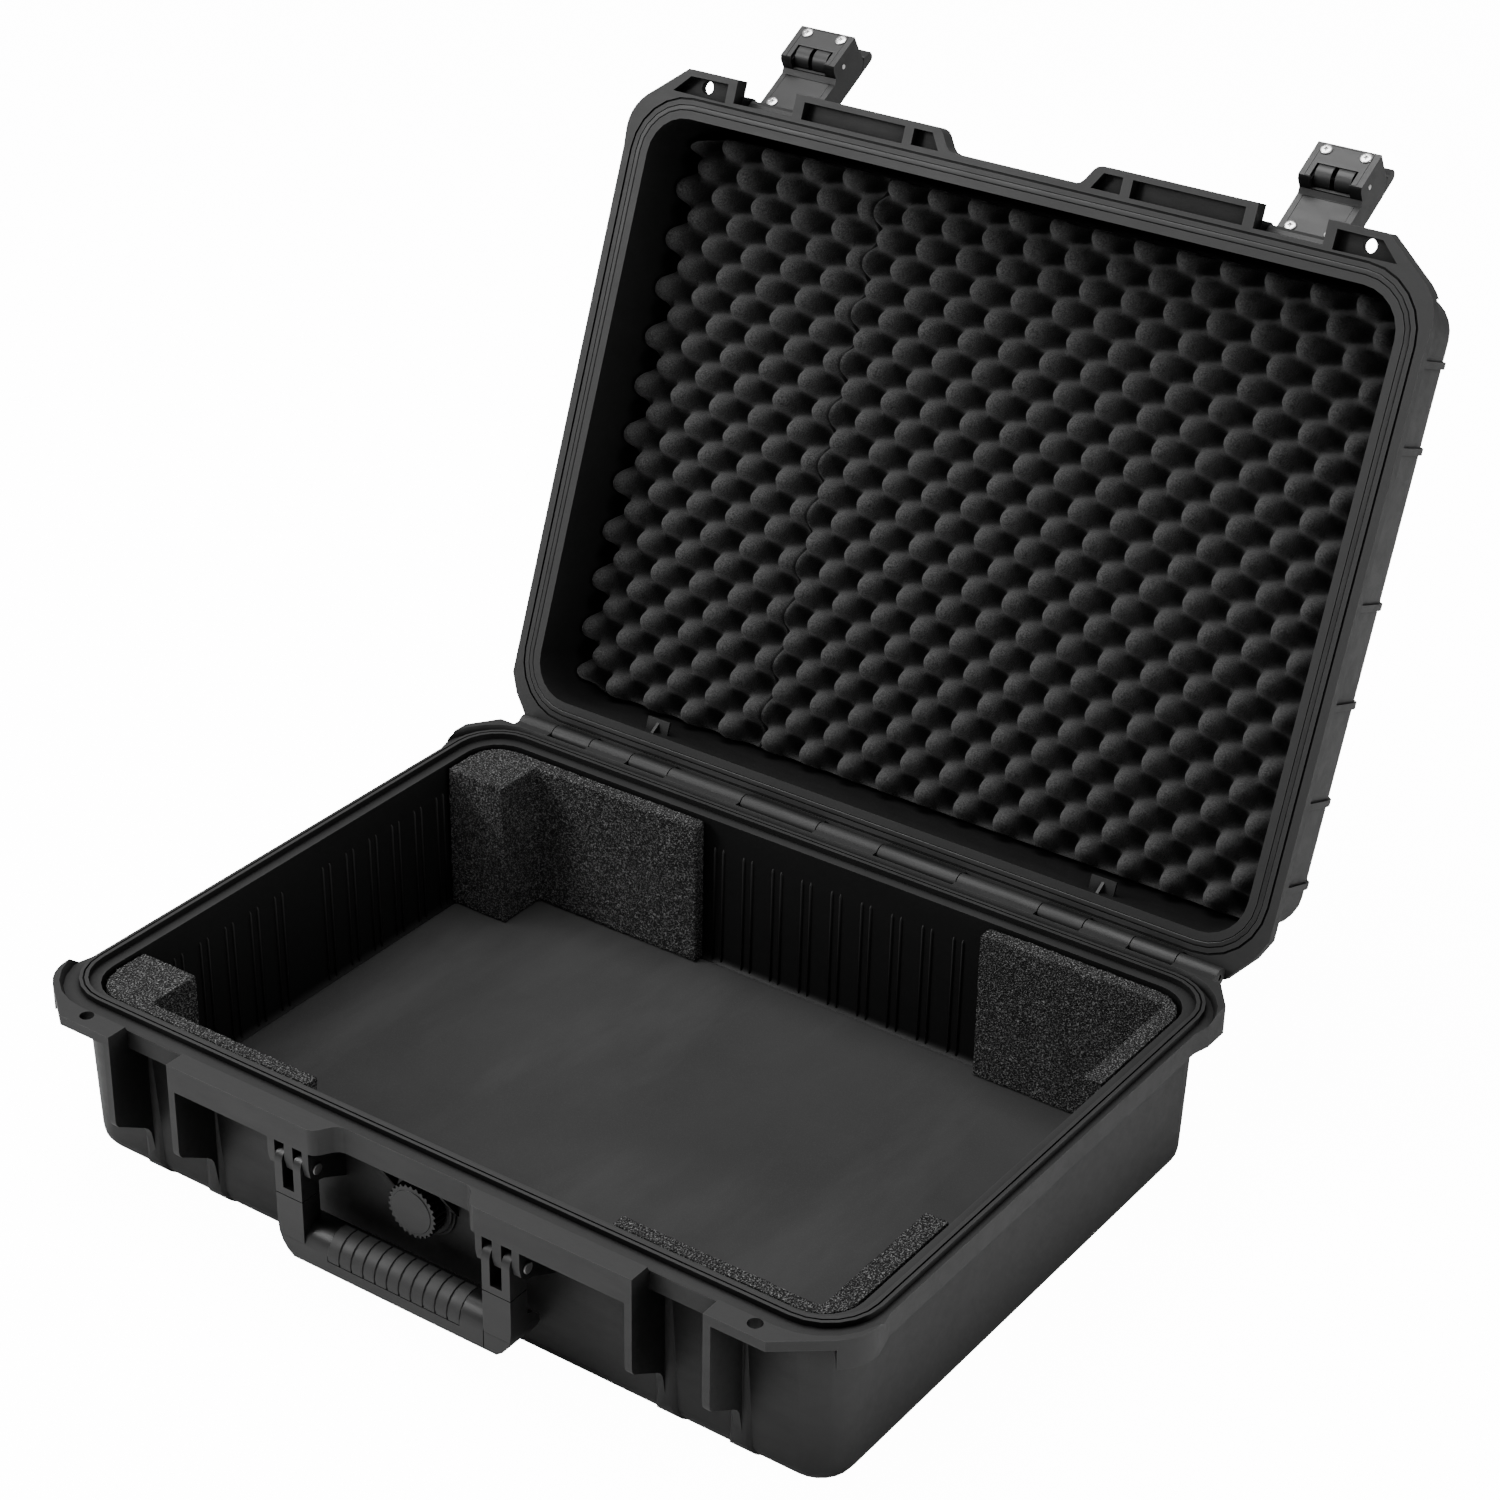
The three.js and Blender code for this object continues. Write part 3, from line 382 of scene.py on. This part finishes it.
def soften(node, width):
    """Welds and flattens the faceted solid, rounds its edges and evens out its shading."""
    obj = NODES[node]
    obj.data.polygons.foreach_set("use_smooth", [True] * len(obj.data.polygons))
    obj.data.materials.clear()
    obj.data.materials.append(cad_material(node))
    weld = obj.modifiers.new("weld", "WELD")
    weld.merge_threshold = 0.02 * MM
    planar = obj.modifiers.new("planar", "DECIMATE")
    planar.decimate_type = "DISSOLVE"
    planar.angle_limit = FLAT_WITHIN
    bevel = obj.modifiers.new("bevel", "BEVEL")
    bevel.width = width * MM
    bevel.segments = 2
    bevel.limit_method = "ANGLE"
    bevel.angle_limit = SHARP_FROM
    bevel.use_clamp_overlap = True
    normals = obj.modifiers.new("normals", "WEIGHTED_NORMAL")
    normals.keep_sharp = False
    normals.weight = 80


def finish_cad():
    for node in NODES:
        slot = SLOT_OF[node]
        if slot in EDGE_MM:
            soften(node, FINE_EDGE_MM.get(node, EDGE_MM[slot]))


# ------------------------------------------------------------------ lid foam
LID_FOAM_BACK = 85.4
LID_FOAM_TIP = 38.0
LID_FOAM_VALLEY = 63.0
LID_FOAM_ROW = 17.32             # between rows of lobes, which are staggered
LID_FOAM_STEP = 1.55             # between the sheet's grid points
LID_ROOM = {"half": 272.6, "front": -419.0, "back": -25.0, "radius": 24.0}
SHEET_JOINT = -118.0             # where the two sheets meet
SKIRT_LOOPS = ((0.65, 0.0), (1.0, 7.5))     # share of the way to the back, and how far drawn in


def round_corners(x, y, room):
    """Draws points outside the rounded corners of the room back onto them."""
    cx = np.clip(x, -room["half"] + room["radius"], room["half"] - room["radius"])
    cy = np.clip(y, room["front"] + room["radius"], room["back"] - room["radius"])
    dx = x - cx
    dy = y - cy
    distance = np.hypot(dx, dy)
    beyond = distance > room["radius"]
    drawn = room["radius"] + 0.03 * (distance - room["radius"])
    scale = np.where(beyond, drawn / np.maximum(distance, 1e-9), 1.0)
    return cx + dx * scale, cy + dy * scale


def grid_solid(name, x, y, z, back, place):
    """A closed sheet: a grid of top points, a skirt that draws in at its foot and one flat back."""
    rows, columns = x.shape
    points = np.stack([x, y, z], -1).reshape(-1, 3).tolist()
    faces = []
    for r in range(rows - 1):
        for c in range(columns - 1):
            i = r * columns + c
            faces.append((i, i + 1, i + columns + 1, i + columns))
    rim = [(0, c) for c in range(columns)] + [(r, columns - 1) for r in range(1, rows)]
    rim += [(rows - 1, c) for c in range(columns - 2, -1, -1)] + [(r, 0) for r in range(rows - 2, 0, -1)]
    loops = [[r * columns + c for r, c in rim]]
    middle_x = (x.min() + x.max()) / 2
    middle_y = (y.min() + y.max()) / 2
    for share, inset in SKIRT_LOOPS:
        start = len(points)
        for r, c in rim:
            inner_x = middle_x + (x[r, c] - middle_x) * (1 - inset / (x.max() - middle_x))
            inner_y = middle_y + (y[r, c] - middle_y) * (1 - inset / (y.max() - middle_y))
            points.append([inner_x, inner_y, z[r, c] + share * (back - z[r, c])])
        loops.append(list(range(start, start + len(rim))))
    for upper, lower in zip(loops, loops[1:]):
        for k in range(len(rim)):
            n = (k + 1) % len(rim)
            faces.append((upper[k], upper[n], lower[n], lower[k]))
    faces.append(tuple(loops[-1]))
    return mesh_from(name, points, faces, place)


def convoluted_sheet(name, node, x_range, pitch, peak, seed):
    """Egg-crate foam: peaks in staggered rows, steep sides, rounded and slightly swollen tips."""
    room = LID_ROOM
    step = LID_FOAM_STEP
    row = LID_FOAM_ROW
    across = np.arange(x_range[0], x_range[1] + 0.01, step)
    along = np.arange(room["front"], room["back"] + 0.01, step)
    x, y = np.meshgrid(across, along)
    rng = np.random.default_rng(seed)
    phases = rng.uniform(0, 2 * math.pi, 4)
    drift = 0.7 * np.sin(x / 61 + phases[0]) + 0.7 * np.sin(y / 83 + phases[1])
    sway = 0.7 * np.sin(y / 57 + phases[2]) + 0.5 * np.sin(x / 95 + phases[3])
    u = 2 * math.pi * (x + drift - peak[0]) / pitch
    v = math.pi * (y + sway - peak[1]) / row
    wave = np.cos(u) * np.cos(v)
    height = 0.5 + 0.5 * np.tanh(1.05 * (wave - 0.1)) / math.tanh(0.95)
    swell = 1.5 * height
    bulge_x = swell * np.sin(u) * np.cos(v)
    bulge_y = swell * np.cos(u) * np.sin(v) * (pitch / (2 * row))
    limp = 0.8 * np.sin(x / 37 + phases[1]) * np.cos(y / 41 + phases[0])
    z = LID_FOAM_VALLEY + (LID_FOAM_TIP - LID_FOAM_VALLEY + limp) * height
    x = np.clip(x + bulge_x, x_range[0], x_range[1])
    y = np.clip(y + bulge_y, room["front"], room["back"])
    x, y = round_corners(x, y, room)
    mesh = grid_solid(name, x, y, z, LID_FOAM_BACK, LID)
    return add_piece(name, mesh, "lid", "fine_foam", [node])


def lid_foam():
    half = LID_ROOM["half"]
    left = (-half, SHEET_JOINT - 0.4)
    right = (SHEET_JOINT + 0.4, half)
    convoluted_sheet("lid_foam_sheet_left", "lid_foam_left", left, 32.3, (-255.2, -397.3), 3)
    convoluted_sheet("lid_foam_sheet_right", "lid_foam_right", right, 31.0, (-91.3, -398.3), 4)


# ------------------------------------------------------------------ base lining
def rough_foam_block(name, node, seed):
    """A saw-cut block of open-cell foam: fine pits over slow unevenness, drawn in a little."""
    mesh = remeshed(node, 1.5)
    count = len(mesh.vertices)
    points = np.empty(count * 3)
    normals = np.empty(count * 3)
    mesh.vertices.foreach_get("co", points)
    mesh.vertices.foreach_get("normal", normals)
    points = points.reshape(-1, 3)
    normals = normals.reshape(-1, 3)
    shift = Vector((seed * 3.1, seed * 1.7, 0))
    depth = np.array([noise.noise(Vector(p) * 420 + shift) for p in points])
    slow = np.array([noise.noise(Vector(p) * 40 + shift) for p in points])
    points += normals * ((0.55 * depth + 0.35 * slow - 0.45) * MM)[:, None]
    mesh.vertices.foreach_set("co", points.ravel())
    mesh.update()
    return add_piece(name, mesh, "base", "coarse_foam", [node])


def floor_sheet():
    """The floor sheet, lying not quite flat."""
    mesh = remeshed("floor_mat", 1.4)
    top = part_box("floor_mat")[1].z
    for vertex in mesh.vertices:
        if vertex.co.z > top - 0.7 * MM:
            wave = noise.noise(Vector((vertex.co.x * 11, vertex.co.y * 7, 0.0)))
            vertex.co.z += 0.22 * MM * wave - 0.05 * MM
    mesh.update()
    add_piece("floor_sheet", mesh, "base", "mat_foam", ["floor_mat"])


def base_lining():
    floor_sheet()
    for seed, corner in enumerate(("back_left", "back_right", "front_left", "front_right")):
        rough_foam_block(f"corner_block_{corner}", f"corner_foam_{corner}", seed)


# ------------------------------------------------------------------ ribs on the inside of the base walls
BASE_INSIDE = {"half": 275.8, "front": -422.0, "back": -32.0}
RIB_TOP = -25.0
RIB_BOTTOM = -114.0
RIB_DRAFT = 1.0 / 110.5          # how far the wall leans in per millimetre of depth


def wall_rib(place):
    """A thin half-round rib with a tapered top end, standing 1.3 mm proud of the wall."""
    stations = [(RIB_TOP, 0.05), (RIB_TOP - 0.8, 0.65), (RIB_TOP - 2.2, 1.0), (RIB_BOTTOM, 1.0)]
    angles = [math.radians(a) for a in (0, 35, 65, 90, 115, 145, 180)]
    points = []
    for z, size in stations:
        lean = RIB_DRAFT * (-5 - z)
        ring = [(0.85 * size * math.cos(a), lean + 1.3 * size * math.sin(a)) for a in angles]
        ring += [(-0.85 * size, lean - 0.5), (0.85 * size, lean - 0.5)]
        points += [(along, proud, z) for along, proud in ring]
    width = len(angles) + 2
    faces = [tuple(range(width)), tuple(range(len(points) - width, len(points)))]
    for level in range(len(stations) - 1):
        for k in range(width):
            a = level * width + k
            b = level * width + (k + 1) % width
            faces.append((a, b, b + width, a + width))
    return mesh_from("rib", points, faces, place)


def inner_ribs():
    ribs = []
    pair = 3.4
    middle = (BASE_INSIDE["front"] + BASE_INSIDE["back"]) / 2
    for k in [k for k in range(-7, 8) if k]:
        for offset in (-pair, pair):
            y = middle + 23.0 * k + offset
            for side, turn in ((-1, -90), (1, 90)):
                turned = Matrix.Rotation(math.radians(turn), 4, "Z")
                ribs.append(wall_rib(CASE @ Matrix.Translation((side * BASE_INSIDE["half"], y, 0)) @ turned))
    for k in range(-10, 10):
        for offset in (-pair, pair):
            x = 23.4 * (k + 0.5) + offset
            behind = Matrix.Translation((x, BASE_INSIDE["back"], 0)) @ Matrix.Rotation(math.pi, 4, "Z")
            ribs.append(wall_rib(CASE @ behind))
            if abs(x) > 18:
                ribs.append(wall_rib(CASE @ Matrix.Translation((x, BASE_INSIDE["front"], 0))))
    add_piece("inner_ribs", join_meshes("inner_ribs", ribs), "base", "case_plastic")


# ------------------------------------------------------------------ latch screws and pin ends
SCREW_ACROSS = 13.5
SCREW_PLACES = {"arm": (11.5, 2.5), "tip": (65.0, -9.7)}     # from the pivot, height of the cover
SCREW_SUNK = 0.12


def turned_profile(profile):
    """A body of revolution about z; the profile is (radius, height) from axis to axis."""
    sides = 32
    points = [(0, 0, profile[0][1])]
    for radius, height in profile[1:-1]:
        for k in range(sides):
            angle = 2 * math.pi * k / sides
            points.append((radius * math.cos(angle), radius * math.sin(angle), height))
    points.append((0, 0, profile[-1][1]))
    last = len(points) - 1
    faces = []
    for k in range(sides):
        n = (k + 1) % sides
        faces.append((0, 1 + n, 1 + k))
        faces.append((last, last - sides + k, last - sides + n))
    for level in range(len(profile) - 3):
        for k in range(sides):
            n = (k + 1) % sides
            a = 1 + level * sides
            faces.append((a + k, a + n, a + sides + n, a + sides + k))
    return mesh_from("turned", points, faces, Matrix.Identity(4))


def screw_mesh():
    """A low pan head with a cross recess, head up, standing on z = 0."""
    profile = [(0, -4), (1.3, -4), (1.3, 0), (3.9, 0), (4.0, 0.15), (4.0, 0.5), (3.6, 0.85),
               (2.6, 1.05), (1.4, 1.12), (0, 1.14)]
    head = turned_profile(profile)
    arms = []
    for turn in (0, 90):
        corners = ((-1.75, -0.34), (1.75, -0.34), (1.75, 0.34), (-1.75, 0.34))
        points = [(x * w, y * w, z) for z, w in ((0.1, 0.6), (1.6, 1.0)) for x, y in corners]
        faces = [(3, 2, 1, 0), (4, 5, 6, 7), (0, 1, 5, 4), (1, 2, 6, 5), (2, 3, 7, 6), (3, 0, 4, 7)]
        arms.append(mesh_from("arm", points, faces, Matrix.Rotation(math.radians(turn + 20), 4, "Z")))

    def prepare(holder):
        for arm in arms:
            cutter = bpy.data.objects.new("cutter", arm)
            bpy.context.scene.collection.objects.link(cutter)
            modifier = holder.modifiers.new("cut", "BOOLEAN")
            modifier.operation = "DIFFERENCE"
            modifier.solver = "EXACT"
            modifier.object = cutter
    mesh = baked(head, prepare)
    for cutter in [o for o in bpy.data.objects if o.name.startswith("cutter")]:
        bpy.data.objects.remove(cutter)
    return mesh


def latch_screws():
    master = screw_mesh()
    for side in ("left", "right"):
        for place, (u, w) in SCREW_PLACES.items():
            for name, x in (("outer", -SCREW_ACROSS), ("inner", SCREW_ACROSS)):
                mesh = master.copy()
                face_inwards = Matrix.Rotation(-math.pi / 2, 4, "X")
                spot = Matrix.Translation((x, -w + SCREW_SUNK, -u))
                mesh.transform(latch_frame(side) @ spot @ face_inwards)
                node = f"latch_{side}_screw_{place}_{name}"
                piece = add_piece(f"{node}_head", mesh, f"latch_{side}", "bright_steel", [node])
                normals = piece.modifiers.new("normals", "WEIGHTED_NORMAL")
                normals.weight = 60


# ------------------------------------------------------------------ stage, light and camera
BACKDROP_GLOW = 14.0
AMBIENT = 0.38


def stage_floor():
    """A pale floor: matt for the light it returns, but seen by the camera as an overexposed backdrop."""
    bpy.ops.mesh.primitive_plane_add(size=14, location=(0, 0, 0))
    floor = bpy.context.object
    floor.name = "studio_floor"
    s = Shader("studio_floor")
    cloud = s.noise(2.0, 3.0)
    s.set(Base_Color=s.mix(cloud, grey(0.8), grey(0.84)), Roughness=0.9)
    seen = s.nodes.new("ShaderNodeLightPath").outputs["Is Camera Ray"]
    s.feed(s.bsdf.inputs["Emission Color"], grey(1.0))
    s.feed(s.bsdf.inputs["Emission Strength"], s.math("MULTIPLY", seen, BACKDROP_GLOW))
    floor.data.materials.append(s.material)


def area_light(name, place, target, size, power):
    light = bpy.data.lights.new(name, "AREA")
    light.shape = "SQUARE"
    light.size = size
    light.energy = power
    lamp = bpy.data.objects.new(name, light)
    bpy.context.scene.collection.objects.link(lamp)
    lamp.location = place
    aim = Vector(target) - Vector(place)
    lamp.rotation_euler = aim.to_track_quat("-Z", "Y").to_euler()


def studio_light():
    """A large overhead soft box, a window to the upper left, a panel on the right and a dim white room."""
    world = bpy.data.worlds.new("studio")
    bpy.context.scene.world = world
    world.use_nodes = True
    tree = world.node_tree
    background = tree.nodes["Background"]
    background.inputs["Color"].default_value = (1, 1, 1, 1)
    seen = tree.nodes.new("ShaderNodeLightPath").outputs["Is Camera Ray"]
    strength = tree.nodes.new("ShaderNodeMapRange")
    strength.inputs["To Min"].default_value = AMBIENT
    strength.inputs["To Max"].default_value = BACKDROP_GLOW
    tree.links.new(seen, strength.inputs["Value"])
    tree.links.new(strength.outputs["Result"], background.inputs["Strength"])
    area_light("overhead", (-0.5, 0.1, 2.4), (0, 0, 0.1), 1.6, 62)
    area_light("left_window", (-2.2, -1.9, 2.0), (0, 0.1, 0.3), 1.0, 66)
    area_light("right_panel", (2.4, -0.1, 0.32), (0.2, 0.0, 0.1), 0.8, 20)


CAMERA_PLACE = (1.0486, -1.3858, 1.2413)
CAMERA_AZIMUTH = math.radians(35.078)
CAMERA_ELEVATION = math.radians(28.869)
CAMERA_ROLL = math.radians(0.907)
CAMERA_LENS = 81.84


def camera():
    """The photograph's viewpoint, round to the right and looking down at the open case."""
    azimuth = CAMERA_AZIMUTH
    elevation = CAMERA_ELEVATION
    roll = CAMERA_ROLL
    forward = Vector((-math.sin(azimuth) * math.cos(elevation), math.cos(azimuth) * math.cos(elevation),
                      -math.sin(elevation)))
    level = forward.cross(Vector((0, 0, 1))).normalized()
    upright = level.cross(forward)
    right = level * math.cos(roll) + upright * math.sin(roll)
    up = upright * math.cos(roll) - level * math.sin(roll)
    data = bpy.data.cameras.new("camera")
    data.sensor_width = 36
    data.lens = CAMERA_LENS
    data.shift_x = 0.0023
    data.shift_y = -0.0012
    view = bpy.data.objects.new("camera", data)
    turn = Matrix((right, up, -forward)).transposed().to_4x4()
    view.matrix_world = Matrix.Translation(CAMERA_PLACE) @ turn
    bpy.context.scene.collection.objects.link(view)
    bpy.context.scene.camera = view


finish_cad()
lid_foam()
base_lining()
inner_ribs()
latch_screws()
stage_floor()
studio_light()
camera()

bpy.context.view_layer.update()
